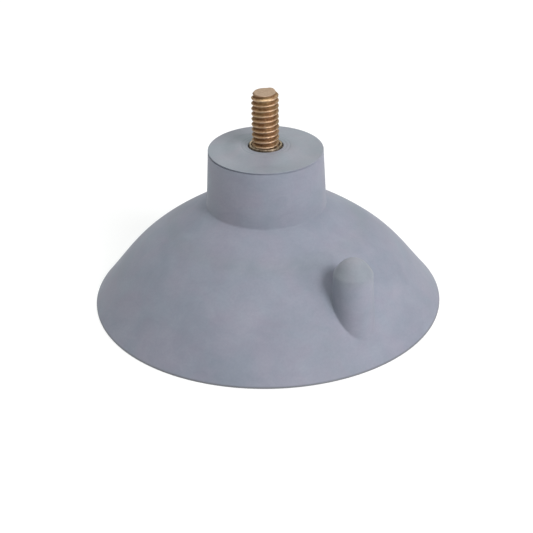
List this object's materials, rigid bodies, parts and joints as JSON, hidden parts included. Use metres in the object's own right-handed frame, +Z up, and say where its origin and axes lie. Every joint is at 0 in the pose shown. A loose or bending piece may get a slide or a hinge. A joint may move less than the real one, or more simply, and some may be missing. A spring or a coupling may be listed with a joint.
{
  "type": "vacuum suction cup",
  "caption": "Round moulded rubber vacuum suction cup with a raised boss, a threaded stud for fastening and a small domed nub on its flank.",
  "frame": {"origin": "centre of the rim's sealing plane, which is the bottom centre of the bounding box", "axes": "+Z up the stud, away from the surface that the cup grips; -Y towards the nub on the dome's flank; +X completes the right-handed frame"},
  "size_m": [0.0826, 0.0826, 0.0523],
  "materials": {
    "rubber": "matte blue-grey moulded rubber, faintly mottled",
    "stud_brass": "cut thread, coppery brass with dark roots and bright crests",
    "insert_brass": "turned, slightly dulled",
    "plate_steel": "stamped and zinc-washed"
  },
  "bodies": {
    "cup": {"rubber_cup": "rubber"},
    "core": {"insert_bushing": "insert_brass", "anchor_plate": "plate_steel"},
    "stud": {"threaded_stud": "stud_brass"}
  },
  "joints": [
    {"name": "press_down", "type": "slide", "parent": "cup", "child": "core", "axis": [0, 0, -1], "range_m": [0, 0.006], "stiffness_N_per_m": 4000, "deforming": ["rubber_cup"]},
    {"name": "stud_turn", "type": "hinge", "parent": "core", "child": "stud", "pos_m": [0, 0, 0.0384], "axis": [0, 0, 1], "continuous": true}
  ]
}
